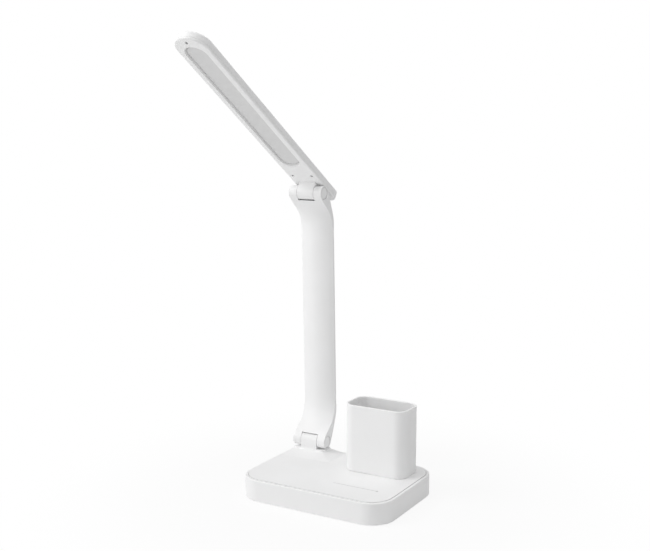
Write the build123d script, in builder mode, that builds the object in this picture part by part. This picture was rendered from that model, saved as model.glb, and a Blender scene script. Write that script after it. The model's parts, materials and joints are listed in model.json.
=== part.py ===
from build123d import *
import os
from math import cos, radians, sin, sqrt, tan

os.makedirs("parts", exist_ok=True)

# A cordless desk lamp: a flat base with a pen cup, a C-shaped arm on a hinge, and a slim light head.
# Millimetres. The origin is the centre of the footprint on the desk, +X is the lamp's right,
# +Y its rear and +Z up.

# ---- base: size and walls
base_width = 168.0
base_depth = 123.5
base_height = 22.8
base_corner = 25.6
base_wall = 2.2
base_gap = 0.6  # height of the shell's lower edge above the desk
base_floor = 2.4
rim_width = 3.0  # shell rim round the inset deck
rim_round = 1.0
deck_rise = 0.4  # the deck stands above the rim
foot_round = 1.0
ledge_width = 3.0
ledge_thickness = 2.0

# ---- deck, let into the rim
deck_thickness = 2.2
deck_seam = 0.45
touch_line_length = 49.0
touch_line_from_right = 24.0
touch_line_from_front = 34.25
touch_line_width = 0.9
touch_line_depth = 0.6
touch_dot_radius = 1.3
touch_inlay_clearance = 0.05

# ---- non-slip mat
mat_thickness = 1.2
mat_inset = 9.0
mat_clearance = 0.2

# ---- pedestal and hinge barrels
pedestal_height = 5.0
pedestal_front_lip = 0.9
pedestal_margin = 2.4
pedestal_upright = 0.1  # left between the flare below and the round above
pedestal_corner = 3.0
pedestal_side_inset = 0.4  # of the arm's right side
pedestal_round = 0.7
pedestal_overrun = 0.3  # of its own rear and left sides past the dome that trims them
skirt_reach = 17.0  # of the slope round the pedestal, over the deck
skirt_rise = 3.1
skirt_corner = 6.0
skirt_cove = 1.4
hinge_from_left = 25.0
lower_axis_from_rear = 14.75
barrel_floor_gap = 0.75  # between the arm's ears and the pedestal
barrel_radius = 7.3
knuckle_width = 19.4
hinge_side_gap = 0.45
hinge_relief = 1.3
tab_back = 3.4

# ---- hinge hardware
pin_radius = 2.5
running_clearance = 0.05
pin_head_radius = 4.1
pin_head_height = 2.2
nut_across_flats = 7.0
nut_height = 2.4
pocket_clearance = 0.5
nut_room = 0.4
pin_head_room = 0.3
pin_socket_radius = 1.6
pin_socket_depth = 1.4
spring_washer_thickness = 0.9
friction_washer_radius = 5.4
friction_washer_thickness = 1.2
friction_washer_recess = 0.8  # in the knuckle's sides
cap_radius = 6.7
cap_button_radius = 5.9  # of the raised middle, inside the ring groove
cap_groove_depth = 1.0
cap_thickness = 1.6
cap_inset = 0.25
cap_round = 0.35

# ---- arm
arm_width = 39.0
arm_side_half = 1.0
ear_crown = 0.3  # the ears are this much thicker in their middle than at their sides
arm_corner = 0.7
cavity_side_half = 0.7
cavity_corner = 0.4
blend_run = 10.0
arm_wall = 2.0
leg_length = 32.0
leg_angle = 36.0  # degrees from vertical, at both ends
bend_radius = 40.0
axis_spacing_z = 269.1
upper_axis_forward = 6.4  # of the lower axis
ear_solid_wall = 6.6  # above the slot
cavity_side_inset = 3.6
arm_screw_radius = 1.3
arm_boss_radius = 3.3
arm_screw_count = 3
arm_screw_seat = 2.5  # the heads' seats behind the parting surface
arm_screw_tip_gap = 0.3
arm_screw_head_radius = 2.5
arm_pilot_depth = 4.2
ear_taper_mid = 0.85  # side heights along the leg, as shares of the ear's
ear_taper_knee = 0.55
ear_taper_bend = 0.2
cavity_ear_side = 3.5
cavity_mouth_run = 2.0

# ---- head
head_elevation = 33.1  # degrees above horizontal
head_width = 34.7
head_barrel_gap = 1.1  # between the arm's ears and the underside
head_thickness = 9.2
head_front_reach = 251.8
head_rear_reach = 32.0
head_rear_corner = 8.5
head_top_round = 2.2
head_bottom_round = 1.3
head_frame_height = 2.6
head_seam = 0.15
head_wall = 1.6
well_start = 39.5
well_tip_margin = 12.3
well_half_width = 11.5
well_depth = 3.2
well_draft = 0.7
diffuser_thickness = 1.2
diffuser_flange = 1.6
diffuser_lens_rise = 1.5
diffuser_gap = 1.2
head_screw_from_tip = 6.5
head_screw_hinge = 20.0
head_screw_spread = 11.5
head_screw_hole = 1.6
head_screw_depth = 2.2  # the heads' seats above the underside
head_screw_tip_gap = 1.2
head_screw_head_height = 1.0
head_screw_collar = 1.3
head_post_wall = 1.0
head_frame_floor = 1.8
tab_clearance = 0.25
flange_thickness = 2.0
flange_length = 22.0
flange_side_gap = 0.75
flange_corner = 2.0
flange_screw_spread = 17.0
flange_screw_inset = 2.8
flange_screw_grip = 1.2
pilot_play = 0.02
led_count = 30
led_size = 2.8
led_thickness = 0.7
led_board_thickness = 1.0
led_board_width = 16.0
led_board_inset_hinge = 4.0
led_board_inset_tip = 6.0
led_end_margin = 6.0
diffuser_clearance = 0.2

# ---- pen cup
cup_width = 69.5
cup_depth = 39.4
cup_height = 70.1
cup_corner = 12.0
cup_wall = 2.0
cup_floor = 2.6
cup_from_right = 49.7
cup_from_rear = 30.95
cup_rim_round = 0.75
cup_foot_chamfer = 0.4
cup_peg_radius = 3.0
cup_peg_spread = 44.0
cup_peg_clearance = 0.2
cup_screw_grip = 0.8
cup_screw_head_radius = 4.2

# ---- fasteners
screw_radius = 1.5
screw_head_radius = 2.8
screw_head_height = 1.8
screw_clearance = 0.25
pilot_radius = 1.35
base_screw_from_side = 16.0
base_screw_from_front = 15.75
post_radius = 3.6
base_boss_height = 2.5
base_boss_margin = 1.0
base_screw_length = 11.0
screw_seat_room = 0.2
screw_play = 0.05

# ---- inside the base
ballast_depth = 56.0
ballast_thickness = 4.0
ballast_boss_gap = 1.4
ballast_board_gap = 6.0
ballast_from_front = 15.75
ballast_corner = 4.0
battery_length = 50.0
battery_depth = 34.0
battery_thickness = 10.0
battery_corner = 4.0
battery_round = 2.0
board_width = 36.0
board_depth = 38.0
board_thickness = 1.2
board_from_right = 30.0
board_from_front = 41.75
board_standoff = 5.0
standoff_radius = 2.6
board_screw_inset = 3.2
small_screw_radius = 0.9
small_head_radius = 1.7
small_head_height = 1.2
board_screw_length = 4.5
driver_chip_size = 7.0
driver_chip_height = 1.2
touch_chip_size = 4.5
touch_chip_height = 1.0
coil_size = 6.0
coil_height = 3.0
capacitor_radius = 3.0
capacitor_height = 7.0
electrode_thickness = 0.3
electrode_width = 9.0
electrode_corner = 2.0
foam_size = 7.0
foam_corner = 1.0
foam_inset = 9.0
socket_from_hinge = 49.0
socket_width = 8.94
socket_height = 3.26
socket_length = 7.3
socket_skin = 0.3
socket_back = 1.5
socket_recess = 0.4  # mouth below the wall's outer face
tongue_width = 6.7
tongue_thickness = 0.7
port_clearance = 0.4
socket_z = 11.0
socket_board_width = 16.0
socket_board_length = 14.0
socket_board_thickness = 1.0
socket_board_gap = 0.3
lead_radius = 1.4
lead_wall_gap = 0.25
lead_end_inset = 20.0
lead_sideways = 8.6
wire_radius = 1.0
wire_bend = 5.0
connector_length = 5.0
connector_width = 7.0
connector_height = 3.0
battery_plug_forward = 7.0  # of the board's middle
hinge_plug_back = 8.0
socket_plug_left = 8.0
wire_straight = 9.0
wire_slack = 4.0
lead_hole_clearance = 0.3
lead_hole_forward = 4.7  # of the lower axis, in front of the pin
lead_hole_rise = 3.0  # above the deck
part_margin = 1.0  # how far cutting shapes run past what they cut

# ---- worked-out levels and places
deck_z = base_height - deck_thickness
floor_z = base_gap + base_floor
ledge_z = deck_z - ledge_thickness
deck_inset = rim_width + deck_seam
half_base = base_width / 2
rear_y = base_depth / 2
hinge_x = hinge_from_left - half_base
lower_axis_y = rear_y - lower_axis_from_rear
upper_axis_y = lower_axis_y - upper_axis_forward
lower_axis_z = base_height + pedestal_height + barrel_floor_gap + barrel_radius
upper_axis_z = lower_axis_z + axis_spacing_z
slot_width = knuckle_width + 2 * hinge_side_gap
slot_radius = barrel_radius + hinge_relief
pedestal_flare = pedestal_height - pedestal_round - pedestal_upright
arm_half_thickness = barrel_radius
ear_side_half = barrel_radius - ear_crown
ear_solid_length = slot_radius + ear_solid_wall
nut_corner_radius = nut_across_flats / sqrt(3)
nut_pocket = spring_washer_thickness + nut_height + nut_room
arm_screw_length = arm_screw_seat + arm_pilot_depth - arm_screw_tip_gap
head_rise = barrel_radius + head_barrel_gap
well_end = head_front_reach - well_tip_margin
head_screw_tip = head_front_reach - head_screw_from_tip
head_screw_length = head_thickness - head_wall - head_screw_depth - head_screw_tip_gap
flange_width = head_width - 2 * (head_wall + flange_side_gap)
flange_screw_width = flange_width - 2 * flange_screw_inset
touch_line_end = half_base - touch_line_from_right
touch_line_start = touch_line_end - touch_line_length
touch_line_y = touch_line_from_front - rear_y
cup_x = half_base - cup_from_right
cup_y = rear_y - cup_from_rear
base_screw_x = half_base - base_screw_from_side
base_screw_y = rear_y - base_screw_from_front
board_x = half_base - board_from_right
board_y = board_from_front - rear_y
ballast_left = post_radius + base_boss_margin + ballast_boss_gap - base_screw_x
ballast_right = board_x - board_width / 2 - ballast_board_gap
ballast_x = (ballast_left + ballast_right) / 2
ballast_y = ballast_from_front + ballast_depth / 2 - rear_y
socket_x = hinge_x + socket_from_hinge
lead_hole_y = lower_axis_y - lead_hole_forward
arm_left = hinge_x - arm_width / 2
arm_right = hinge_x + arm_width / 2
lean = radians(leg_angle)


def rounded_plate(inset, level, height, mode=Mode.ADD):
    """A slab of the base's outline, drawn in from its edge, standing on a level."""
    with BuildSketch(Plane.XY.offset(level)) as outline:
        RectangleRounded(base_width - 2 * inset, base_depth - 2 * inset, base_corner - inset)
    extrude(outline.sketch, amount=height, mode=mode)


def screw(plane, length, radius, head_radius, head_height, cross=True):
    """A pan-head screw: its head stands on the plane, its shank runs down from it."""
    with BuildPart(plane) as made:
        Cylinder(head_radius, head_height, align=(Align.CENTER, Align.CENTER, Align.MIN))
        fillet(made.edges().sort_by(Axis(plane.origin, plane.z_dir))[-1], head_height * 0.3)
        Cylinder(radius, length, align=(Align.CENTER, Align.CENTER, Align.MAX))
        if cross:
            with BuildSketch(plane.offset(head_height)):
                Rectangle(head_radius * 1.2, head_radius * 0.26)
                Rectangle(head_radius * 0.26, head_radius * 1.2)
            extrude(amount=-head_height * 0.55, mode=Mode.SUBTRACT)
    return made.part


# ---- base shell: a tray with a floor, a wall, a rim and a ledge that the deck rests on
base_screw_points = [(x, y) for x in (-base_screw_x, base_screw_x) for y in (-base_screw_y, base_screw_y)]
board_hole_x = board_width / 2 - board_screw_inset
board_hole_y = board_depth / 2 - board_screw_inset
board_points = [(board_x + i * board_hole_x, board_y + j * board_hole_y) for i in (-1, 1) for j in (-1, 1)]
rear_inner_y = base_depth / 2 - base_wall
socket_board_top = socket_z - socket_height / 2
socket_board_y = rear_inner_y - socket_board_length / 2 - socket_board_gap
head_seat_z = mat_thickness + screw_head_height + screw_seat_room

with BuildPart() as base_body:
    rounded_plate(0, base_gap, base_height - deck_rise - base_gap)
    fillet(base_body.edges().group_by(Axis.Z)[-1], rim_round)
    fillet(base_body.edges().group_by(Axis.Z)[0], foot_round)
    rounded_plate(base_wall, floor_z, ledge_z - floor_z, mode=Mode.SUBTRACT)
    rounded_plate(rim_width + ledge_width, ledge_z, ledge_thickness, mode=Mode.SUBTRACT)
    rounded_plate(rim_width, deck_z, deck_thickness, mode=Mode.SUBTRACT)
    rounded_plate(mat_inset - mat_clearance, base_gap, mat_thickness - base_gap, mode=Mode.SUBTRACT)
    with BuildSketch(Plane.XY.offset(floor_z)):
        with Locations(*base_screw_points):
            Circle(post_radius + base_boss_margin)
    extrude(amount=base_boss_height)
    with BuildSketch(Plane.XY.offset(mat_thickness)):
        with Locations(*base_screw_points):
            Circle(screw_head_radius + screw_clearance)
    extrude(amount=head_seat_z - mat_thickness, mode=Mode.SUBTRACT)
    with BuildSketch(Plane.XY.offset(head_seat_z)):
        with Locations(*base_screw_points):
            Circle(screw_radius + screw_clearance)
    extrude(amount=floor_z + base_boss_height - head_seat_z, mode=Mode.SUBTRACT)
    # standoffs for the control board, and a shelf for the socket's small board
    with BuildSketch(Plane.XY.offset(floor_z)):
        with Locations(*board_points):
            Circle(standoff_radius)
    extrude(amount=board_standoff)
    with BuildSketch(Plane.XY.offset(floor_z)):
        with Locations(*board_points):
            Circle(small_screw_radius)
    extrude(amount=board_standoff, mode=Mode.SUBTRACT)
    with BuildSketch(Plane.XY.offset(floor_z)):
        with Locations((socket_x, rear_inner_y - socket_board_length / 2)):
            Rectangle(socket_board_width, socket_board_length + part_margin)
    extrude(amount=socket_board_top - socket_board_thickness - floor_z)
    # the port through the rear wall
    with BuildSketch(Plane.XZ.offset(-base_depth / 2)):
        with Locations((socket_x, socket_z)):
            SlotOverall(socket_width + 2 * port_clearance, socket_height + 2 * port_clearance)
    extrude(amount=base_wall + part_margin, both=True, mode=Mode.SUBTRACT)
base_body.part.label = "base_body"
export_step(base_body.part, "parts/base_body.step")

# ---- non-slip mat under the whole footprint
with BuildPart() as non_slip_mat:
    rounded_plate(mat_inset, 0, mat_thickness)
non_slip_mat.part.label = "non_slip_mat"
export_step(non_slip_mat.part, "parts/non_slip_mat.step")

# ---- top cover: the deck, the flared pedestal and the fixed knuckle of the lower hinge
deck_width = base_width - 2 * deck_inset
deck_depth = base_depth - 2 * deck_inset
pedestal_front = lower_axis_y - barrel_radius - pedestal_front_lip
pedestal_rear = deck_depth / 2 - pedestal_margin + pedestal_overrun
pedestal_left = pedestal_margin - deck_width / 2 - pedestal_overrun
pedestal_right = arm_right - pedestal_side_inset
pedestal_width = pedestal_right - pedestal_left
pedestal_depth = pedestal_rear - pedestal_front
pedestal_centre = ((pedestal_left + pedestal_right) / 2, (pedestal_front + pedestal_rear) / 2)
skirt_top = base_height + skirt_rise
blank_size = base_width + base_depth
knuckle_left = hinge_x - knuckle_width / 2
knuckle_right = hinge_x + knuckle_width / 2

# the form that bounds the pedestal at the rear and the left: the whole deck, raised above a cove at its edge
with BuildPart() as dome:
    with Locations((0, 0, deck_z)):
        Box(blank_size, blank_size, deck_thickness, align=(Align.CENTER, Align.CENTER, Align.MIN))
    rounded_plate(deck_inset + pedestal_margin, base_height, pedestal_height)
    fillet(dome.edges().group_by(Axis.Z)[-1], pedestal_round)
    foot = dome.edges().filter_by_position(Axis.Z, base_height - 0.01, base_height + 0.01)
    fillet(foot.filter_by(lambda edge: edge.length < blank_size * 0.9), pedestal_flare)
    rounded_plate(deck_inset, deck_z, deck_thickness + pedestal_height, mode=Mode.INTERSECT)

with BuildPart() as pedestal:
    with BuildSketch(Plane.XY.offset(base_height)) as skirt_foot:
        with Locations(pedestal_centre):
            RectangleRounded(pedestal_width + 2 * skirt_reach, pedestal_depth + 2 * skirt_reach, skirt_corner)
    with BuildSketch(Plane.XY.offset(skirt_top)) as pedestal_outline:
        with Locations(pedestal_centre):
            RectangleRounded(pedestal_width, pedestal_depth, pedestal_corner)
    loft([skirt_foot.sketch, pedestal_outline.sketch])
    extrude(skirt_foot.sketch, amount=-deck_thickness)
    extrude(pedestal_outline.sketch, amount=pedestal_height - skirt_rise)
    fillet(pedestal.edges().group_by(Axis.Z)[-1], pedestal_round)
    fillet(pedestal.edges().filter_by_position(Axis.Z, skirt_top - 0.01, skirt_top + 0.01), skirt_cove)
    add(dome.part, mode=Mode.INTERSECT)

with BuildPart() as top_cover:
    rounded_plate(deck_inset, deck_z, deck_thickness)
    add(pedestal.part)
    # knuckle: a barrel on a tab whose front is flat and upright
    with BuildSketch(Plane.YZ.offset(knuckle_left)):
        with Locations((lower_axis_y, lower_axis_z)):
            Circle(barrel_radius)
        with Locations((lower_axis_y - barrel_radius, deck_z + deck_thickness / 2)):
            Rectangle(
                barrel_radius + tab_back,
                lower_axis_z - deck_z - deck_thickness / 2,
                align=(Align.MIN, Align.MIN),
            )
    extrude(amount=knuckle_width)
    with BuildSketch(Plane.YZ.offset(knuckle_left)):
        with Locations((lower_axis_y, lower_axis_z)):
            Circle(pin_radius + running_clearance)
    extrude(amount=knuckle_width, mode=Mode.SUBTRACT)
    for side in (knuckle_left, knuckle_right - friction_washer_recess):
        with BuildSketch(Plane.YZ.offset(side)):
            with Locations((lower_axis_y, lower_axis_z)):
                Circle(friction_washer_radius + running_clearance)
        extrude(amount=friction_washer_recess, mode=Mode.SUBTRACT)
    # blind hole in the tab, in front of the pin, that takes the lead up towards the arm
    with BuildSketch(Plane.XY.offset(deck_z)):
        with Locations((hinge_x, lead_hole_y)):
            Circle(lead_radius + lead_hole_clearance)
    extrude(amount=deck_thickness + lead_hole_rise + lead_hole_clearance, mode=Mode.SUBTRACT)
    # posts that the base screws pull down on the floor's bosses
    with BuildSketch(Plane.XY.offset(floor_z + base_boss_height)):
        with Locations(*base_screw_points):
            Circle(post_radius)
            Circle(pilot_radius, mode=Mode.SUBTRACT)
    extrude(amount=deck_z - floor_z - base_boss_height)
    # holes for the cup's pegs
    with BuildSketch(Plane.XY.offset(deck_z)):
        with Locations((cup_x, cup_y)):
            with GridLocations(cup_peg_spread, 0, 2, 1):
                Circle(cup_peg_radius + cup_peg_clearance)
    extrude(amount=deck_thickness, mode=Mode.SUBTRACT)
    # touch line and the dot at its end
    with BuildSketch(Plane.XY.offset(base_height)):
        with Locations(((touch_line_start + touch_line_end) / 2, touch_line_y)):
            SlotOverall(touch_line_end - touch_line_start, touch_line_width)
        with Locations((touch_line_end, touch_line_y)):
            Circle(touch_dot_radius)
    extrude(amount=-touch_line_depth, mode=Mode.SUBTRACT)
top_cover.part.label = "top_cover"
export_step(top_cover.part, "parts/top_cover.step")

# ---- grey inlay in the touch line and its dot
with BuildPart() as touch_inlay:
    with BuildSketch(Plane.XY.offset(base_height - touch_line_depth)):
        with Locations(((touch_line_start + touch_line_end) / 2, touch_line_y)):
            SlotOverall(
                touch_line_end - touch_line_start - 2 * touch_inlay_clearance,
                touch_line_width - 2 * touch_inlay_clearance,
            )
        with Locations((touch_line_end, touch_line_y)):
            Circle(touch_dot_radius - touch_inlay_clearance)
    extrude(amount=touch_line_depth - touch_inlay_clearance)
touch_inlay.part.label = "touch_inlay"
export_step(touch_inlay.part, "parts/touch_inlay.step")

# ---- base screws, driven up through the floor into the posts
with BuildPart() as base_screws:
    for x, y in base_screw_points:
        seat = Plane(origin=(x, y, head_seat_z), x_dir=(1, 0, 0), z_dir=(0, 0, -1))
        add(screw(seat, base_screw_length, pilot_radius - screw_play, screw_head_radius, screw_head_height))
base_screws.part.label = "base_screws"
export_step(base_screws.part, "parts/base_screws.step")

# ---- steel ballast on the floor, and the battery on top of it
with BuildPart() as ballast_plate:
    with BuildSketch(Plane.XY.offset(floor_z)):
        with Locations((ballast_x, ballast_y)):
            RectangleRounded(ballast_right - ballast_left, ballast_depth, ballast_corner)
    extrude(amount=ballast_thickness)
ballast_plate.part.label = "ballast_plate"
export_step(ballast_plate.part, "parts/ballast_plate.step")

with BuildPart() as battery_pack:
    with BuildSketch(Plane.XY.offset(floor_z + ballast_thickness)):
        with Locations((ballast_x, ballast_y)):
            RectangleRounded(battery_length, battery_depth, battery_corner)
    extrude(amount=battery_thickness)
    fillet(battery_pack.edges().group_by(Axis.Z)[-1], battery_round)
battery_pack.part.label = "battery_pack"
export_step(battery_pack.part, "parts/battery_pack.step")

# ---- control board on its standoffs, with its parts and screws
board_z = floor_z + board_standoff
board_top = board_z + board_thickness
with BuildPart() as control_board:
    with BuildSketch(Plane.XY.offset(board_z)):
        with Locations((board_x, board_y)):
            Rectangle(board_width, board_depth)
        with Locations(*board_points):
            Circle(small_screw_radius + screw_clearance, mode=Mode.SUBTRACT)
    extrude(amount=board_thickness)
control_board.part.label = "control_board"
export_step(control_board.part, "parts/control_board.step")

board_left = board_x - board_width / 2
board_rear = board_y + board_depth / 2
battery_plug_y = board_y - battery_plug_forward
hinge_plug_y = board_y + hinge_plug_back
socket_plug_x = board_x - socket_plug_left
wire_z = board_top + connector_height / 2
on_board = (Align.CENTER, Align.CENTER, Align.MIN)
with BuildPart() as board_parts:
    with Locations((board_x - board_width / 4, board_y + board_depth / 4, board_top)):
        Box(driver_chip_size, driver_chip_size, driver_chip_height, align=on_board)
    with Locations((board_x + board_width / 4, board_y + board_depth / 4, board_top)):
        Box(coil_size, coil_size, coil_height, align=on_board)
    with Locations((board_x + board_width / 4, board_y - board_depth / 8, board_top)):
        Cylinder(capacitor_radius, capacitor_height, align=on_board)
    with Locations((board_x, board_y, board_top)):
        Box(touch_chip_size, touch_chip_size, touch_chip_height, align=on_board)
    # connectors for the battery, the hinge's lead and the socket
    for y in (battery_plug_y, hinge_plug_y):
        with Locations((board_left + connector_length / 2, y, board_top)):
            Box(connector_length, connector_width, connector_height, align=on_board)
    with Locations((socket_plug_x, board_rear - connector_length / 2, board_top)):
        Box(connector_width, connector_length, connector_height, align=on_board)
board_parts.part.label = "board_parts"
export_step(board_parts.part, "parts/board_parts.step")

with BuildPart() as board_screws:
    for x, y in board_points:
        seat = Plane(origin=(x, y, board_top), x_dir=(1, 0, 0), z_dir=(0, 0, 1))
        shank_radius = small_screw_radius - screw_play
        add(screw(seat, board_screw_length, shank_radius, small_head_radius, small_head_height))
board_screws.part.label = "board_screws"
export_step(board_screws.part, "parts/board_screws.step")

# ---- touch electrode under the deck, and the conductive foam that joins it to the board
electrode_x = (touch_line_start + touch_line_end) / 2
with BuildPart() as touch_electrode:
    with BuildSketch(Plane.XY.offset(deck_z)):
        with Locations((electrode_x, touch_line_y)):
            RectangleRounded(touch_line_end - touch_line_start, electrode_width, electrode_corner)
    extrude(amount=-electrode_thickness)
touch_electrode.part.label = "touch_electrode"
export_step(touch_electrode.part, "parts/touch_electrode.step")

with BuildPart() as touch_foam:
    with BuildSketch(Plane.XY.offset(board_top)):
        with Locations((board_x - board_width / 2 + foam_inset, touch_line_y)):
            RectangleRounded(foam_size, foam_size, foam_corner)
    extrude(amount=deck_z - electrode_thickness - board_top)
touch_foam.part.label = "touch_foam"
export_step(touch_foam.part, "parts/touch_foam.step")

# ---- charging socket: a thin metal shell round a contact tongue, on its own small board
with BuildPart() as charge_socket:
    with BuildSketch(Plane.XZ.offset(socket_recess - base_depth / 2)):
        with Locations((socket_x, socket_z)):
            SlotOverall(socket_width, socket_height)
    extrude(amount=socket_length)
    with BuildSketch(Plane.XZ.offset(socket_recess - base_depth / 2)):
        with Locations((socket_x, socket_z)):
            SlotOverall(socket_width - 2 * socket_skin, socket_height - 2 * socket_skin)
            Rectangle(tongue_width, tongue_thickness, mode=Mode.SUBTRACT)
    extrude(amount=socket_length - socket_back, mode=Mode.SUBTRACT)
charge_socket.part.label = "charge_socket"
export_step(charge_socket.part, "parts/charge_socket.step")

socket_board_front = socket_board_y - socket_board_length / 2
with BuildPart() as socket_board:
    with BuildSketch(Plane.XY.offset(socket_board_top)):
        with Locations((socket_x, socket_board_y)):
            Rectangle(socket_board_width, socket_board_length)
    extrude(amount=-socket_board_thickness)
    # its connector, at the end away from the wall
    with Locations((socket_x, socket_board_front + connector_length / 2, socket_board_top)):
        Box(connector_width, connector_length, connector_height, align=on_board)
socket_board.part.label = "socket_board"
export_step(socket_board.part, "parts/socket_board.step")


# ---- wires inside the base, each from one connector to the next
def wire(name, points, radius):
    """A round jacketed wire through the points, with an even bend at each corner."""
    with BuildPart() as jacket:
        with BuildLine() as route:
            FilletPolyline(*points, radius=wire_bend)
        start = Plane(origin=route.line @ 0, z_dir=route.line % 0)
        with BuildSketch(start) as section:
            Circle(radius)
        sweep(section.sketch, path=route.line)
    jacket.part.label = name
    export_step(jacket.part, "parts/" + name + ".step")


battery_right = ballast_x + battery_length / 2
battery_rear = ballast_y + battery_depth / 2
battery_exit_y = battery_plug_y + wire_slack
socket_wire_z = socket_board_top + connector_height / 2
battery_wire_run = board_left - battery_right
wire(
    "battery_wires",
    [
        (battery_right, battery_exit_y, wire_z),
        (battery_right + battery_wire_run / 3, battery_exit_y, wire_z),
        (board_left - battery_wire_run / 3, battery_plug_y, wire_z),
        (board_left, battery_plug_y, wire_z),
    ],
    wire_radius,
)
wire(
    "socket_wires",
    [
        (socket_x, socket_board_front, socket_wire_z),
        (socket_x, socket_board_front - wire_straight, socket_wire_z),
        (socket_plug_x, board_rear + wire_straight, wire_z),
        (socket_plug_x, board_rear, wire_z),
    ],
    wire_radius,
)
wire(
    "hinge_lead",
    [
        (board_left, hinge_plug_y, wire_z),
        (board_left - wire_straight, hinge_plug_y, wire_z),
        (battery_right + wire_slack, battery_rear + wire_straight, wire_z),
        (hinge_x + 2 * wire_straight, lead_hole_y - 2 * wire_straight, wire_z),
        (hinge_x, lead_hole_y, wire_z),
        (hinge_x, lead_hole_y, base_height + lead_hole_rise),
    ],
    lead_radius,
)

# ---- pen cup on the deck, held by two pegs and screws from below
with BuildPart() as pen_cup:
    with BuildSketch(Plane.XY.offset(base_height)):
        with Locations((cup_x, cup_y)):
            RectangleRounded(cup_width, cup_depth, cup_corner)
    extrude(amount=cup_height)
    chamfer(pen_cup.edges().group_by(Axis.Z)[0], cup_foot_chamfer)
    with BuildSketch(Plane.XY.offset(base_height + cup_floor)):
        with Locations((cup_x, cup_y)):
            RectangleRounded(cup_width - 2 * cup_wall, cup_depth - 2 * cup_wall, cup_corner - cup_wall)
    extrude(amount=cup_height - cup_floor, mode=Mode.SUBTRACT)
    fillet(pen_cup.edges().group_by(Axis.Z)[-1], cup_rim_round)
    with BuildSketch(Plane.XY.offset(base_height)):
        with Locations((cup_x, cup_y)):
            with GridLocations(cup_peg_spread, 0, 2, 1):
                Circle(cup_peg_radius)
    extrude(amount=-deck_thickness)
    with BuildSketch(Plane.XY.offset(deck_z)):
        with Locations((cup_x, cup_y)):
            with GridLocations(cup_peg_spread, 0, 2, 1):
                Circle(pilot_radius)
    extrude(amount=deck_thickness + cup_screw_grip + screw_seat_room, mode=Mode.SUBTRACT)
pen_cup.part.label = "pen_cup"
export_step(pen_cup.part, "parts/pen_cup.step")

with BuildPart() as cup_screws:
    for side in (-1, 1):
        place = (cup_x + side * cup_peg_spread / 2, cup_y, deck_z)
        seat = Plane(origin=place, x_dir=(1, 0, 0), z_dir=(0, 0, -1))
        length = deck_thickness + cup_screw_grip
        add(screw(seat, length, pilot_radius - screw_play, cup_screw_head_radius, screw_head_height))
cup_screws.part.label = "cup_screws"
export_step(cup_screws.part, "parts/cup_screws.step")

# ---- arm: its centreline in the side view is leg, bend, bar, bend, leg
lower_axis = Vector(hinge_x, lower_axis_y, lower_axis_z)
upper_axis = Vector(hinge_x, upper_axis_y, upper_axis_z)
lower_leg = Vector(0, sin(lean), cos(lean))
upper_leg = Vector(0, sin(lean), -cos(lean))
lower_knee = lower_axis + lower_leg * leg_length
upper_knee = upper_axis + upper_leg * leg_length
bar_line = (upper_knee - lower_knee).normalized()
bar_length = (upper_knee - lower_knee).length


def arm_section(point, heading, side_half, inset):
    """A lens with short flat sides, square to the arm's centreline, drawn in by an inset."""
    half_width = arm_width / 2 - (cavity_side_inset if inset else 0)
    thick = arm_half_thickness - inset
    with BuildSketch(Plane(origin=point, x_dir=(1, 0, 0), z_dir=heading)) as section:
        with BuildLine():
            ThreePointArc((-half_width, side_half), (0, thick), (half_width, side_half))
            Line((half_width, side_half), (half_width, -side_half))
            ThreePointArc((half_width, -side_half), (0, -thick), (-half_width, -side_half))
            Line((-half_width, -side_half), (-half_width, side_half))
        make_face()
        fillet(section.vertices(), cavity_corner if inset else arm_corner)
    return section.sketch


def arm_end(axis, leg, knee, towards_bar, inset):
    """One end of the arm: flat-sided at the hinge, turning into the lens of the bar past the knee."""
    half_turn = radians(leg.get_angle(towards_bar)) / 2
    tangent = bend_radius * tan(half_turn)
    inward = (towards_bar - leg).normalized()
    sag = bend_radius * (1 / cos(half_turn) - 1)
    start = leg_length - tangent
    ear_side = cavity_ear_side if inset else ear_side_half
    lens_side = cavity_side_half if inset else arm_side_half
    first = ear_solid_length if inset else 0
    sections = [arm_section(axis + leg * first, leg, ear_side, inset)]
    if not inset:
        sections.append(arm_section(axis + leg * start * 0.55, leg, ear_side * ear_taper_mid, inset))
    knee_start = max(start, first + cavity_mouth_run)
    sections.append(arm_section(axis + leg * knee_start, leg, ear_side * ear_taper_knee, inset))
    blend_side = lens_side + (ear_side - lens_side) * ear_taper_bend
    sections.append(arm_section(knee + inward * sag, (leg + towards_bar).normalized(), blend_side, inset))
    sections.append(arm_section(knee + towards_bar * tangent, towards_bar, lens_side, inset))
    sections.append(arm_section(knee + towards_bar * (tangent + blend_run), towards_bar, lens_side, inset))
    loft(sections)
    return tangent + blend_run


def arm_form(inset):
    """The arm's outer form, or with an inset the hollow inside it."""
    with BuildPart() as form:
        from_lower = arm_end(lower_axis, lower_leg, lower_knee, bar_line, inset)
        from_upper = arm_end(upper_axis, upper_leg, upper_knee, bar_line * -1, inset)
        lens_side = cavity_side_half if inset else arm_side_half
        bar = arm_section(lower_knee + bar_line * from_lower, bar_line, lens_side, inset)
        extrude(bar, amount=bar_length - from_lower - from_upper)
    return form.part


boss_points = [
    lower_knee + bar_line * (bar_length * (index + 0.5) / arm_screw_count) for index in range(arm_screw_count)
]
arm_outer = arm_form(0)
arm_hollow = arm_form(arm_wall)
rearward = Vector(0, bar_line.Z, -bar_line.Y)

with BuildPart() as arm_bosses:
    for point in boss_points:
        with BuildSketch(Plane(origin=point, x_dir=(1, 0, 0), z_dir=rearward)):
            Circle(arm_boss_radius)
        extrude(amount=arm_half_thickness, both=True)
    add(arm_outer, mode=Mode.INTERSECT)

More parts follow.
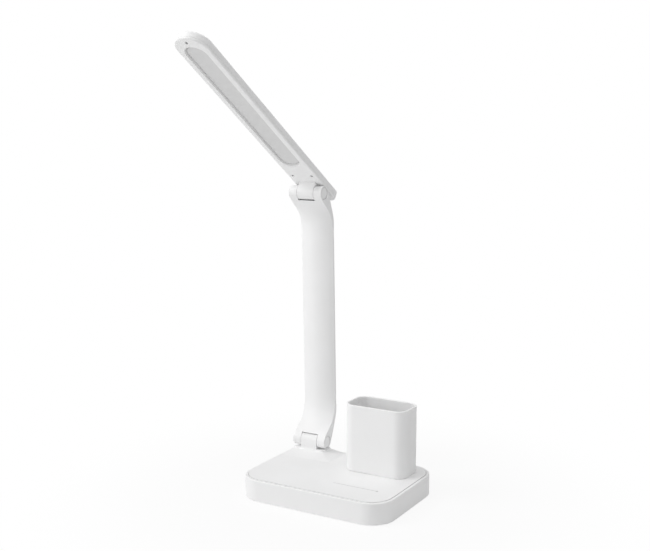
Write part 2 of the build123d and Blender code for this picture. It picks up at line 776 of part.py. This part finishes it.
with BuildPart() as arm_blank:
    add(arm_outer)
    for axis in (lower_axis, upper_axis):
        with BuildSketch(Plane.YZ.offset(arm_left)):
            with Locations((axis.Y, axis.Z)):
                Circle(barrel_radius)
        extrude(amount=arm_width)
    add(arm_hollow, mode=Mode.SUBTRACT)
    add(arm_bosses.part)
    for axis in (lower_axis, upper_axis):
        centre = (axis.Y, axis.Z)
        with BuildSketch(Plane.YZ.offset(hinge_x - slot_width / 2)):
            with Locations(centre):
                Circle(slot_radius)
        extrude(amount=slot_width, mode=Mode.SUBTRACT)
        with BuildSketch(Plane.YZ.offset(arm_left)):
            with Locations(centre):
                Circle(pin_radius + running_clearance)
        extrude(amount=arm_width, mode=Mode.SUBTRACT)
        for end, inward in ((arm_left, 1), (arm_right, -1)):
            with BuildSketch(Plane.YZ.offset(end)):
                with Locations(centre):
                    Circle(cap_radius + running_clearance)
            extrude(amount=inward * (cap_thickness + cap_inset), mode=Mode.SUBTRACT)
            pocket = nut_pocket if inward > 0 else pin_head_height + pin_head_room
            with BuildSketch(Plane.YZ.offset(end)):
                with Locations(centre):
                    Circle((nut_corner_radius if inward > 0 else pin_head_radius) + pocket_clearance)
            extrude(amount=inward * (cap_thickness + cap_inset + pocket), mode=Mode.SUBTRACT)
    # screw holes: counterbored from behind, a pilot in the front half
    for point in boss_points:
        with BuildSketch(Plane(origin=point + rearward * arm_screw_seat, x_dir=(1, 0, 0), z_dir=rearward)):
            Circle(arm_screw_head_radius + screw_clearance)
        extrude(amount=arm_half_thickness, mode=Mode.SUBTRACT)
        with BuildSketch(Plane(origin=point, x_dir=(1, 0, 0), z_dir=rearward)):
            Circle(arm_screw_radius + screw_play)
        extrude(amount=arm_screw_seat, mode=Mode.SUBTRACT)
        with BuildSketch(Plane(origin=point, x_dir=(1, 0, 0), z_dir=rearward)):
            Circle(arm_screw_radius)
        extrude(amount=-arm_pilot_depth, mode=Mode.SUBTRACT)

# the parting surface runs down the centreline, with everything in front of it in the front half
front_reach = 60.0
lower_start = lower_axis - lower_leg * (barrel_radius * 2)
upper_start = upper_axis - upper_leg * (barrel_radius * 2)
with BuildPart() as front_side:
    with BuildSketch(Plane.YZ.offset(arm_left - part_margin)):
        with BuildLine():
            parting = FilletPolyline(
                (lower_start.Y, lower_start.Z),
                (lower_knee.Y, lower_knee.Z),
                (upper_knee.Y, upper_knee.Z),
                (upper_start.Y, upper_start.Z),
                radius=bend_radius,
            )
            Polyline(
                (upper_start.Y, upper_start.Z),
                (upper_start.Y - front_reach, upper_start.Z),
                (lower_start.Y - front_reach, lower_start.Z),
                (lower_start.Y, lower_start.Z),
            )
        make_face()
    extrude(amount=arm_width + 2 * part_margin)

with BuildPart() as arm_front_shell:
    add(arm_blank.part)
    add(front_side.part, mode=Mode.INTERSECT)
arm_front_shell.part.label = "arm_front_shell"
export_step(arm_front_shell.part, "parts/arm_front_shell.step")

with BuildPart() as arm_rear_shell:
    add(arm_blank.part)
    add(front_side.part, mode=Mode.SUBTRACT)
arm_rear_shell.part.label = "arm_rear_shell"
export_step(arm_rear_shell.part, "parts/arm_rear_shell.step")

with BuildPart() as arm_screws:
    for point in boss_points:
        seat = Plane(origin=point + rearward * arm_screw_seat, x_dir=(1, 0, 0), z_dir=rearward)
        shank_radius = arm_screw_radius - screw_play
        add(screw(seat, arm_screw_length, shank_radius, arm_screw_head_radius, screw_head_height))
arm_screws.part.label = "arm_screws"
export_step(arm_screws.part, "parts/arm_screws.step")

# ---- two-core lead inside the arm, lying against the rear half
cavity_half_width = arm_width / 2 - cavity_side_inset
cavity_depth = arm_half_thickness - arm_wall
cavity_crown = cavity_depth - cavity_side_half
cavity_arc = (cavity_half_width**2 + cavity_crown**2) / (2 * cavity_crown)
lead_reach = sqrt((cavity_arc - lead_radius - lead_wall_gap) ** 2 - lead_sideways**2)
lead_shift = rearward * (cavity_depth - cavity_arc + lead_reach)
lead_offset = Vector(lead_sideways, 0, 0)
with BuildPart() as arm_lead:
    with BuildLine() as lead_line:
        Line(
            lower_knee + bar_line * lead_end_inset + lead_shift + lead_offset,
            upper_knee - bar_line * lead_end_inset + lead_shift + lead_offset,
        )
    with BuildSketch(Plane(origin=lead_line.line @ 0, x_dir=(1, 0, 0), z_dir=bar_line)):
        Circle(lead_radius)
    sweep()
arm_lead.part.label = "arm_lead"
export_step(arm_lead.part, "parts/arm_lead.step")


# ---- hinge hardware, the same at both axes
def hinge_hardware(prefix, axis):
    """Pin, nut, spring washer and end caps, which all turn with the arm."""
    centre = (axis.Y, axis.Z)
    left_seat = arm_left + cap_thickness + cap_inset + nut_pocket
    right_seat = arm_right - cap_thickness - cap_inset - pin_head_height - pin_head_room
    with BuildPart() as pin:
        with BuildSketch(Plane.YZ.offset(right_seat)):
            with Locations(centre):
                Circle(pin_head_radius)
        extrude(amount=pin_head_height)
        with BuildSketch(Plane.YZ.offset(right_seat)):
            with Locations(centre):
                Circle(pin_radius)
        extrude(amount=-(right_seat - left_seat + spring_washer_thickness + nut_height))
        with BuildSketch(Plane.YZ.offset(right_seat + pin_head_height)):
            with Locations(centre):
                RegularPolygon(pin_socket_radius, 6)
        extrude(amount=-pin_socket_depth, mode=Mode.SUBTRACT)
    pin.part.label = prefix + "_hinge_pin"
    export_step(pin.part, "parts/" + prefix + "_hinge_pin.step")
    with BuildPart() as washer:
        with BuildSketch(Plane.YZ.offset(left_seat)):
            with Locations(centre):
                Circle(nut_corner_radius)
                Circle(pin_radius + running_clearance, mode=Mode.SUBTRACT)
        extrude(amount=-spring_washer_thickness)
    washer.part.label = prefix + "_spring_washer"
    export_step(washer.part, "parts/" + prefix + "_spring_washer.step")
    with BuildPart() as nut:
        with BuildSketch(Plane.YZ.offset(left_seat - spring_washer_thickness)):
            with Locations(centre):
                RegularPolygon(nut_across_flats / 2, 6, major_radius=False)
                Circle(pin_radius + running_clearance, mode=Mode.SUBTRACT)
        extrude(amount=-nut_height)
    nut.part.label = prefix + "_hinge_nut"
    export_step(nut.part, "parts/" + prefix + "_hinge_nut.step")
    with BuildPart() as caps:
        for end, inward in ((arm_left, 1), (arm_right, -1)):
            with BuildSketch(Plane.YZ.offset(end + inward * cap_inset)):
                with Locations(centre):
                    Circle(cap_button_radius)
            extrude(amount=inward * cap_thickness)
            with BuildSketch(Plane.YZ.offset(end + inward * (cap_inset + cap_groove_depth))):
                with Locations(centre):
                    Circle(cap_radius)
            extrude(amount=inward * (cap_thickness - cap_groove_depth))
        fillet(caps.edges().group_by(Axis.X)[0], cap_round)
        fillet(caps.edges().group_by(Axis.X)[-1], cap_round)
    caps.part.label = prefix + "_hinge_caps"
    export_step(caps.part, "parts/" + prefix + "_hinge_caps.step")


def friction_washers(name, axis):
    """A pair of thin washers let into the knuckle's two sides, standing out towards the arm's ears."""
    with BuildPart() as washers:
        for end, outward in ((knuckle_left, -1), (knuckle_right, 1)):
            with BuildSketch(Plane.YZ.offset(end - outward * friction_washer_recess)):
                with Locations((axis.Y, axis.Z)):
                    Circle(friction_washer_radius)
                    Circle(pin_radius + running_clearance, mode=Mode.SUBTRACT)
            extrude(amount=outward * friction_washer_thickness)
    washers.part.label = name
    export_step(washers.part, "parts/" + name + ".step")


hinge_hardware("lower", lower_axis)
hinge_hardware("upper", upper_axis)
friction_washers("lower_friction_washers", lower_axis)
friction_washers("upper_friction_washers", upper_axis)

# ---- head: drawn flat on its own plane, whose x runs from the hinge to the tip and z is its top side
tilt = radians(head_elevation)
head_plane = Plane(origin=upper_axis, x_dir=(0, -cos(tilt), sin(tilt)), z_dir=(0, sin(tilt), cos(tilt)))
half_head = head_width / 2
tip_centre = head_front_reach - half_head
underside = head_plane.offset(head_rise)


def head_outline(inset):
    """Round at the tip, with rounded corners at the hinge end."""
    rear = inset - head_rear_reach
    side = half_head - inset
    with BuildSketch(mode=Mode.PRIVATE) as outline:
        with BuildLine():
            Line((rear, -side), (tip_centre, -side))
            ThreePointArc((tip_centre, -side), (head_front_reach - inset, 0), (tip_centre, side))
            Line((tip_centre, side), (rear, side))
            Line((rear, side), (rear, -side))
        make_face()
        fillet(outline.vertices().sort_by(Axis.X)[:2], head_rear_corner - inset)
    return outline.sketch


def stadium(start, end, half_width):
    """A slot with round ends along the head."""
    with Locations(((start + end) / 2, 0)):
        SlotOverall(end - start, 2 * half_width)


head_axis = Axis(head_plane.origin, head_plane.z_dir)
head_screw_points = [
    (head_screw_tip, 0),
    (head_screw_hinge, -head_screw_spread),
    (head_screw_hinge, head_screw_spread),
]
flange_centre = (barrel_radius - tab_back) / 2
flange_hole_x = flange_screw_spread / 2
flange_hole_y = flange_screw_width / 2
flange_screw_points = [
    (flange_centre + i * flange_hole_x, j * flange_hole_y) for i in (-1, 1) for j in (-1, 1)
]

with BuildPart() as head_frame:
    with BuildSketch(underside):
        add(head_outline(0))
    extrude(amount=head_frame_height)
    fillet(head_frame.edges().group_by(head_axis)[0], head_bottom_round)
    with BuildSketch(underside.offset(head_frame_floor)):
        add(head_outline(head_wall))
    extrude(amount=head_frame_height - head_frame_floor, mode=Mode.SUBTRACT)
    with BuildSketch(underside.offset(head_frame_floor)):
        stadium(well_start - diffuser_flange, well_end + diffuser_flange, well_half_width + diffuser_flange)
    extrude(amount=well_depth - head_frame_floor)
    with BuildSketch(underside):
        stadium(well_start, well_end, well_half_width)
    with BuildSketch(underside.offset(well_depth)):
        stadium(well_start + well_draft, well_end - well_draft, well_half_width - well_draft)
    loft(mode=Mode.SUBTRACT)
    # slot for the hinge block's tab
    with BuildSketch(underside):
        with Locations((flange_centre, 0)):
            Rectangle(barrel_radius + tab_back + 2 * tab_clearance, knuckle_width + 2 * tab_clearance)
    extrude(amount=head_frame_floor, mode=Mode.SUBTRACT)
    with BuildSketch(underside.offset(head_frame_floor)):
        with Locations(*flange_screw_points):
            Circle(small_screw_radius + pilot_play)
    extrude(amount=-flange_screw_grip - pilot_play, mode=Mode.SUBTRACT)
    # collars round the screw holes, and the holes
    with BuildSketch(underside.offset(head_frame_floor)):
        with Locations(*head_screw_points):
            Circle(head_screw_hole + head_screw_collar)
    extrude(amount=well_depth - head_frame_floor)
    with BuildSketch(underside):
        with Locations(*head_screw_points):
            Circle(head_screw_hole)
    extrude(amount=head_screw_depth, mode=Mode.SUBTRACT)
    with BuildSketch(underside):
        with Locations(*head_screw_points):
            Circle(small_screw_radius + screw_play)
    extrude(amount=well_depth, mode=Mode.SUBTRACT)
head_frame.part.label = "head_frame"
export_step(head_frame.part, "parts/head_frame.step")

with BuildPart() as head_top_shell:
    with BuildSketch(underside.offset(head_frame_height + head_seam)):
        add(head_outline(0))
    extrude(amount=head_thickness - head_frame_height - head_seam)
    fillet(head_top_shell.edges().group_by(head_axis)[-1], head_top_round)
    with BuildSketch(underside.offset(head_frame_height + head_seam)):
        add(head_outline(head_wall))
    extrude(amount=head_thickness - head_frame_height - head_seam - head_wall, mode=Mode.SUBTRACT)
    # posts that the three head screws bite into
    with BuildSketch(underside.offset(well_depth)):
        with Locations(*head_screw_points):
            Circle(head_screw_hole + head_post_wall)
            Circle(small_screw_radius + pilot_play, mode=Mode.SUBTRACT)
    extrude(amount=head_thickness - head_wall - well_depth)
head_top_shell.part.label = "head_top_shell"
export_step(head_top_shell.part, "parts/head_top_shell.step")

with BuildPart() as head_screws:
    for s, x in head_screw_points:
        place = underside.offset(head_screw_depth).from_local_coords((s, x, 0))
        seat = Plane(origin=place, x_dir=(1, 0, 0), z_dir=-head_plane.z_dir)
        head_radius = head_screw_hole - screw_play
        add(screw(seat, head_screw_length, small_screw_radius, head_radius, head_screw_head_height))
head_screws.part.label = "head_screws"
export_step(head_screws.part, "parts/head_screws.step")

with BuildPart() as diffuser:
    with BuildSketch(underside.offset(well_depth)):
        edge = diffuser_flange - diffuser_clearance
        stadium(well_start - edge, well_end + edge, well_half_width + edge)
    extrude(amount=diffuser_thickness)
    with BuildSketch(underside.offset(well_depth)):
        lens_inset = well_draft + diffuser_gap
        stadium(well_start + lens_inset, well_end - lens_inset, well_half_width - lens_inset)
    extrude(amount=-diffuser_lens_rise)
diffuser.part.label = "diffuser"
export_step(diffuser.part, "parts/diffuser.step")

# ---- LED board on the top shell's inner face, with its row of LEDs facing the diffuser
board_level = head_thickness - head_wall - led_board_thickness
led_board_start = well_start + led_board_inset_hinge
led_board_end = well_end - led_board_inset_tip
with BuildPart() as led_board:
    with BuildSketch(underside.offset(board_level)):
        with Locations(((led_board_start + led_board_end) / 2, 0)):
            Rectangle(led_board_end - led_board_start, led_board_width)
    extrude(amount=led_board_thickness)
led_board.part.label = "led_board"
export_step(led_board.part, "parts/led_board.step")

led_pitch = (led_board_end - led_board_start - 2 * led_end_margin) / (led_count - 1)
with BuildPart() as led_chips:
    with BuildSketch(underside.offset(board_level)):
        with Locations(((led_board_start + led_board_end) / 2, 0)):
            with GridLocations(led_pitch, 0, led_count, 1):
                Rectangle(led_size, led_size)
    extrude(amount=-led_thickness)
led_chips.part.label = "led_chips"
export_step(led_chips.part, "parts/led_chips.step")

# ---- hinge block: the head's knuckle, its tab, and a flange screwed inside the frame
flange_level = head_rise + head_frame_floor
with BuildPart() as head_hinge_block:
    with BuildSketch(Plane.YZ.offset(knuckle_left)):
        with Locations((upper_axis.Y, upper_axis.Z)):
            Circle(barrel_radius)
    extrude(amount=knuckle_width)
    with BuildSketch(head_plane):
        with Locations((flange_centre, 0)):
            Rectangle(barrel_radius + tab_back, knuckle_width)
    extrude(amount=flange_level + flange_thickness)
    with BuildSketch(head_plane.offset(flange_level)):
        with Locations((flange_centre, 0)):
            RectangleRounded(flange_length, flange_width, flange_corner)
        with Locations(*flange_screw_points):
            Circle(small_screw_radius + screw_play, mode=Mode.SUBTRACT)
    extrude(amount=flange_thickness)
    with BuildSketch(Plane.YZ.offset(knuckle_left)):
        with Locations((upper_axis.Y, upper_axis.Z)):
            Circle(pin_radius + running_clearance)
    extrude(amount=knuckle_width, mode=Mode.SUBTRACT)
    for side in (knuckle_left, knuckle_right - friction_washer_recess):
        with BuildSketch(Plane.YZ.offset(side)):
            with Locations((upper_axis.Y, upper_axis.Z)):
                Circle(friction_washer_radius + running_clearance)
        extrude(amount=friction_washer_recess, mode=Mode.SUBTRACT)
head_hinge_block.part.label = "head_hinge_block"
export_step(head_hinge_block.part, "parts/head_hinge_block.step")

with BuildPart() as flange_screws:
    for s, x in flange_screw_points:
        origin = head_plane.offset(flange_level + flange_thickness).from_local_coords((s, x, 0))
        seat = Plane(origin=origin, x_dir=(1, 0, 0), z_dir=head_plane.z_dir)
        length = flange_thickness + flange_screw_grip
        add(screw(seat, length, small_screw_radius, small_head_radius, small_head_height))
flange_screws.part.label = "flange_screws"
export_step(flange_screws.part, "parts/flange_screws.step")
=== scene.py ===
import json
from math import cos, radians, sin

import bpy
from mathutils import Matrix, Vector


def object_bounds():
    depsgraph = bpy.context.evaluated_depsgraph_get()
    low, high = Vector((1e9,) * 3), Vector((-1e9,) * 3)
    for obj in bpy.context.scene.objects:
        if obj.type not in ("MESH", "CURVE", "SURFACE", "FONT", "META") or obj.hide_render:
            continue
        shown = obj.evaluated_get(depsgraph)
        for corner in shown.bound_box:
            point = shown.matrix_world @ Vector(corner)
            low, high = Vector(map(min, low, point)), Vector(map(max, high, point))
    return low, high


# The looks of a white desk lamp with a pen cup: finishes, camera, light and floor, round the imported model.
# Metres, in the model's own frame: +X is the lamp's right, +Y its rear, +Z up.

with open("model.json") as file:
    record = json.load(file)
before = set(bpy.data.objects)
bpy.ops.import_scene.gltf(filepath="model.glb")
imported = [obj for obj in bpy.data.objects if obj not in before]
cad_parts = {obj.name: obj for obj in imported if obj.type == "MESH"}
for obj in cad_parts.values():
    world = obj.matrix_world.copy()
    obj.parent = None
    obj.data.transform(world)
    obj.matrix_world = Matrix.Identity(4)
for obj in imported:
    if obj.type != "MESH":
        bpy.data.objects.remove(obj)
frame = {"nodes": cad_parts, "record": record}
cad_low, cad_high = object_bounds()
mm = 0.001

# ---- the photograph's camera
camera_place = Vector((0.5072, -0.8894, 0.3831))
camera_heading = radians(30.41)
camera_down = radians(8.66)
camera_lens = 57.6
camera_sensor = 36.0

# ---- light
# name, direction from the lamp (right of front and above the horizon, in degrees), distance, size, power
lights = [
    ("key", -52, 41, 2.2, 1.0, 14.9),
    ("low_key", -54, 6, 2.2, 0.8, 7.4),
    ("front", 5, 20, 2.2, 1.0, 4.6),
    ("side", 100, 12, 2.2, 1.2, 3.8),
    ("top", 0, 88, 2.0, 1.4, 15.0),
]
world_strength = 0.30

# ---- floor
floor_half_width = 6.0
floor_drop = 0.02 * mm  # below the mat, so that the two surfaces stay apart
floor_tone = 0.9
floor_rough = 0.9
floor_gloss = 0.1
floor_glow = 0.88  # share of plain white in the floor near the lamp
floor_shadow_reach = 0.10  # from the lamp's middle, where the share starts to rise
floor_white_from = 0.34  # from the lamp's middle, where the floor is all white

# ---- noise, read between these shares of its range
tone_share_low, tone_share_high = 0.35, 0.65
rough_share_low, rough_share_high = 0.3, 0.7

# ---- moulded plastic
white_tone = 0.93
# The cup is the shells' white plastic; its lighter tone is painted light on its shaded inside.
cup_tone_with_painted_light = 0.96
cup_translucence = 0.5
white_gloss = 0.42
white_rough_low, white_rough_high = 0.40, 0.50
white_tone_patch = 28 * mm
white_rough_patch = 6 * mm
white_grain_size, white_grain_depth = 0.4 * mm, 0.002 * mm
light_reach_in_wall = 3 * mm

# ---- brushed metal
brush_line_width = 1.2 * mm
brush_stretch = (1, 12, 12)
brush_line_depth = 0.004 * mm

fine_relief = 0.004 * mm


# ---- materials
class Recipe:
    """A Principled material whose colour, roughness and bump come from noise in the object's own space."""

    def __init__(self, name):
        self.material = bpy.data.materials.new(name)
        self.material.use_nodes = True
        self.nodes = self.material.node_tree.nodes
        self.links = self.material.node_tree.links
        self.shader = self.nodes["Principled BSDF"]
        self.place = self.nodes.new("ShaderNodeTexCoord")

    def set(self, **values):
        """Values on the shader's own sockets, named with _ for a space."""
        for socket, value in values.items():
            self.shader.inputs[socket.replace("_", " ")].default_value = value
        return self

    def noise(self, size, detail=4.0, grain=0.5, stretch=(1, 1, 1)):
        """Noise whose features are about that size in metres, squeezed by axis so that it can run one way."""
        mapping = self.nodes.new("ShaderNodeMapping")
        mapping.inputs["Scale"].default_value = stretch
        self.links.new(self.place.outputs["Object"], mapping.inputs["Vector"])
        texture = self.nodes.new("ShaderNodeTexNoise")
        texture.inputs["Scale"].default_value = 1.0 / size
        texture.inputs["Detail"].default_value = detail
        texture.inputs["Roughness"].default_value = grain
        self.links.new(mapping.outputs["Vector"], texture.inputs["Vector"])
        return texture.outputs["Fac"]

    def colour(self, value, dark, light):
        """From dark to light by a value."""
        ramp = self.nodes.new("ShaderNodeValToRGB")
        stops = ((tone_share_low, dark), (tone_share_high, light))
        for element, (position, colour) in zip(ramp.color_ramp.elements, stops):
            element.position = position
            element.color = (*colour, 1)
        self.links.new(value, ramp.inputs["Fac"])
        self.links.new(ramp.outputs["Color"], self.shader.inputs["Base Color"])
        return self

    def roughness(self, value, low, high):
        """From low to high by a value."""
        spread = self.nodes.new("ShaderNodeMapRange")
        spread.inputs["From Min"].default_value = rough_share_low
        spread.inputs["From Max"].default_value = rough_share_high
        spread.inputs["To Min"].default_value = low
        spread.inputs["To Max"].default_value = high
        self.links.new(value, spread.inputs["Value"])
        self.links.new(spread.outputs["Result"], self.shader.inputs["Roughness"])
        return self

    def bump(self, value, depth):
        """Relief of that depth in metres."""
        bump = self.nodes.new("ShaderNodeBump")
        bump.inputs["Strength"].default_value = 1.0
        bump.inputs["Distance"].default_value = depth
        self.links.new(value, bump.inputs["Height"])
        self.links.new(bump.outputs["Normal"], self.shader.inputs["Normal"])
        return self


def grey(value):
    return (value, value, value)


def moulded_white(name, tone=white_tone, translucence=0.0):
    """Satin moulded plastic: a fine grain and a faint unevenness of tone and gloss.

    A thin wall lets light through.
    """
    recipe = Recipe(name).set(Specular_IOR_Level=white_gloss)
    recipe.set(Subsurface_Weight=translucence)
    recipe.set(Subsurface_Radius=(1, 1, 1), Subsurface_Scale=light_reach_in_wall)
    light = (tone + 0.006, tone + 0.006, tone + 0.008)
    recipe.colour(recipe.noise(white_tone_patch, detail=3), grey(tone - 0.008), light)
    recipe.roughness(recipe.noise(white_rough_patch, detail=5), white_rough_low, white_rough_high)
    return recipe.bump(recipe.noise(white_grain_size, detail=2), white_grain_depth).material


def milky_sheet_with_painted_shade(name):
    """The diffuser's sheet, a milky plastic of slightly duller gloss than the shells round it, whose colour
    is darkened to grey as painted shade of the recessed well it sits in.
    """
    recipe = Recipe(name).set(Specular_IOR_Level=0.4)
    # Grey colour: painted shade of the recessed well round the sheet.
    recipe.colour(recipe.noise(14 * mm, detail=2), grey(0.72), grey(0.735))
    recipe.roughness(recipe.noise(2 * mm), 0.42, 0.52)
    return recipe.bump(recipe.noise(0.25 * mm, detail=2), fine_relief).material


def brushed_metal(name, tone, rough):
    """Metal with fine lines that run along the object's own X axis."""
    recipe = Recipe(name).set(Metallic=1.0)
    lines = recipe.noise(brush_line_width, detail=6, grain=0.7, stretch=brush_stretch)
    recipe.colour(lines, tuple(c * 0.86 for c in tone), tone)
    recipe.roughness(lines, rough - 0.07, rough + 0.1)
    return recipe.bump(lines, brush_line_depth).material


def rubber(name, tone):
    """Dull rubber or soft jacket."""
    recipe = Recipe(name).set(Specular_IOR_Level=0.3)
    recipe.colour(recipe.noise(3 * mm), tuple(c * 0.85 for c in tone), tone)
    recipe.roughness(recipe.noise(1 * mm), 0.72, 0.88)
    return recipe.bump(recipe.noise(0.5 * mm, detail=3), 0.02 * mm).material


def speckled(name, dark, light, size, rough, depth=fine_relief):
    """Foam, board, inlay or wrap: two tones in patches of that size over a shallow relief."""
    recipe = Recipe(name)
    patches = recipe.noise(size, detail=5, grain=0.6)
    recipe.colour(patches, dark, light)
    recipe.roughness(patches, rough - 0.08, rough + 0.08)
    return recipe.bump(patches, depth).material


finishes = {
    "shell_white": moulded_white("moulded_white"),
    # The cup's finish: real translucence of a thin wall, and a lighter tone that is painted light.
    "thin_lit_white": moulded_white("thin_moulded_white_with_painted_light", tone=cup_tone_with_painted_light, translucence=cup_translucence),
    "diffuser_milky": milky_sheet_with_painted_shade("milky_sheet_with_painted_shade"),
    "rubber_grey": rubber("grey_rubber", grey(0.045)),
    "screw_steel": brushed_metal("dark_screw_steel", (0.10, 0.10, 0.11), 0.4),
    "pin_steel": brushed_metal("plated_pin_steel", (0.62, 0.62, 0.64), 0.28),
    "washer_nylon": speckled("natural_nylon", (0.70, 0.68, 0.60), (0.74, 0.72, 0.64), 2 * mm, 0.5),
    "inlay_grey": speckled("grey_inlay", grey(0.56), grey(0.60), 2 * mm, 0.5),
    "ballast_steel": speckled(
        "galvanised_steel", (0.34, 0.35, 0.37), (0.46, 0.47, 0.49), 5 * mm, 0.45, 0.01 * mm
    ),
    "battery_wrap": speckled(
        "silver_pouch", (0.52, 0.54, 0.56), (0.62, 0.64, 0.66), 4 * mm, 0.3, 0.03 * mm
    ),
    "circuit_board": speckled(
        "green_solder_mask", (0.010, 0.075, 0.030), (0.016, 0.11, 0.045), 1.5 * mm, 0.35, 0.01 * mm
    ),
    "component_black": speckled("black_packages", grey(0.010), grey(0.018), 0.6 * mm, 0.55, 0.006 * mm),
    "copper_foil": brushed_metal("copper_foil", (0.80, 0.42, 0.26), 0.3),
    "foam_black": speckled("black_foam", grey(0.008), grey(0.035), 0.4 * mm, 0.9, 0.1 * mm),
    "socket_metal": brushed_metal("nickel_shell", (0.70, 0.70, 0.71), 0.25),
    "lead_jacket": rubber("white_lead_jacket", grey(0.62)),
    "led_board_white": speckled("white_solder_mask", grey(0.76), grey(0.80), 2 * mm, 0.3),
    "led_phosphor": speckled(
        "yellow_phosphor", (0.82, 0.66, 0.14), (0.88, 0.74, 0.20), 0.5 * mm, 0.35
    ),
}


def finish_nodes():
    """Every node of the model takes its slot's finish, and the thin-walled cup its own: translucent, and
    lighter in tone as painted light on its shaded inside.
    """
    for part in frame["record"]["subparts"]:
        piece = frame["nodes"][part["node"]]
        finish = "thin_lit_white" if part["node"] == "pen_cup" else part["material_slot"]
        piece.data.materials.clear()
        piece.data.materials.append(finishes[finish])


finish_nodes()


# ---- camera
def make_camera():
    data = bpy.data.cameras.new("camera")
    data.sensor_width = camera_sensor
    data.lens = camera_lens
    camera = bpy.data.objects.new("camera", data)
    camera.location = camera_place
    camera.rotation_euler = (radians(90) - camera_down, 0, camera_heading)
    bpy.context.scene.collection.objects.link(camera)
    bpy.context.scene.camera = camera


make_camera()


# ---- light and floor
def area_light(name, azimuth, elevation, distance, size, power):
    """A square soft light that looks at the lamp's middle from that direction."""
    across, up = radians(azimuth), radians(elevation)
    towards = Vector((sin(across) * cos(up), -cos(across) * cos(up), sin(up)))
    data = bpy.data.lights.new(name, "AREA")
    data.size = size
    data.energy = power
    light = bpy.data.objects.new(name, data)
    light.location = (cad_low + cad_high) / 2 + towards * distance
    light.rotation_euler = towards.to_track_quat("Z", "Y").to_euler()
    bpy.context.scene.collection.objects.link(light)


for values in lights:
    area_light(*values)


def either_of(nodes, links, one, other):
    """The larger of two outputs."""
    larger = nodes.new("ShaderNodeMath")
    larger.operation = "MAXIMUM"
    links.new(one, larger.inputs[0])
    links.new(other, larger.inputs[1])
    return larger.outputs[0]


def seen_directly(nodes, links):
    """1 for rays from the camera, off a gloss or through glass, and 0 for the light that falls on things."""
    rays = nodes.new("ShaderNodeLightPath").outputs
    direct = either_of(nodes, links, rays["Is Camera Ray"], rays["Is Transmission Ray"])
    return either_of(nodes, links, direct, rays["Is Glossy Ray"])


def make_world():
    """Pale surroundings that light the lamp softly.

    They read as white where the camera or a gloss meets them.
    """
    world = bpy.data.worlds.new("surroundings")
    bpy.context.scene.world = world
    world.use_nodes = True
    nodes, links = world.node_tree.nodes, world.node_tree.links
    nodes.clear()
    soft = nodes.new("ShaderNodeBackground")
    soft.inputs["Strength"].default_value = world_strength
    white = nodes.new("ShaderNodeBackground")
    white.inputs["Strength"].default_value = 1.0
    for shader in (soft, white):
        shader.inputs["Color"].default_value = (1, 1, 1, 1)
    mix = nodes.new("ShaderNodeMixShader")
    out = nodes.new("ShaderNodeOutputWorld")
    links.new(seen_directly(nodes, links), mix.inputs["Fac"])
    links.new(soft.outputs[0], mix.inputs[1])
    links.new(white.outputs[0], mix.inputs[2])
    links.new(mix.outputs[0], out.inputs["Surface"])


make_world()


def floor_finish():
    """Pale near the lamp, with its shadow, and going over into the white surroundings further out."""
    recipe = Recipe("floor_white").set(Base_Color=(*grey(floor_tone), 1))
    recipe.set(Roughness=floor_rough, Specular_IOR_Level=floor_gloss)
    nodes, links = recipe.nodes, recipe.links
    distance = nodes.new("ShaderNodeVectorMath")
    distance.operation = "LENGTH"
    links.new(recipe.place.outputs["Object"], distance.inputs[0])
    spread = nodes.new("ShaderNodeMapRange")
    spread.interpolation_type = "SMOOTHSTEP"
    spread.inputs["From Min"].default_value = floor_shadow_reach
    spread.inputs["From Max"].default_value = floor_white_from
    spread.inputs["To Min"].default_value = floor_glow
    spread.inputs["To Max"].default_value = 1.0
    links.new(distance.outputs["Value"], spread.inputs["Value"])
    share = nodes.new("ShaderNodeMath")
    share.operation = "MULTIPLY"
    links.new(seen_directly(nodes, links), share.inputs[0])
    links.new(spread.outputs["Result"], share.inputs[1])
    glow = nodes.new("ShaderNodeEmission")
    mix = nodes.new("ShaderNodeMixShader")
    links.new(share.outputs[0], mix.inputs["Fac"])
    links.new(recipe.shader.outputs[0], mix.inputs[1])
    links.new(glow.outputs[0], mix.inputs[2])
    links.new(mix.outputs[0], nodes["Material Output"].inputs["Surface"])
    return recipe.material


def make_floor():
    mesh = bpy.data.meshes.new("floor")
    half = floor_half_width
    corners = [(-half, -half, 0), (half, -half, 0), (half, half, 0), (-half, half, 0)]
    mesh.from_pydata(corners, [], [(0, 1, 2, 3)])
    floor = bpy.data.objects.new("floor", mesh)
    floor.location.z = -floor_drop
    bpy.context.scene.collection.objects.link(floor)
    mesh.materials.append(floor_finish())


make_floor()

bpy.context.scene.view_settings.view_transform = "Standard"
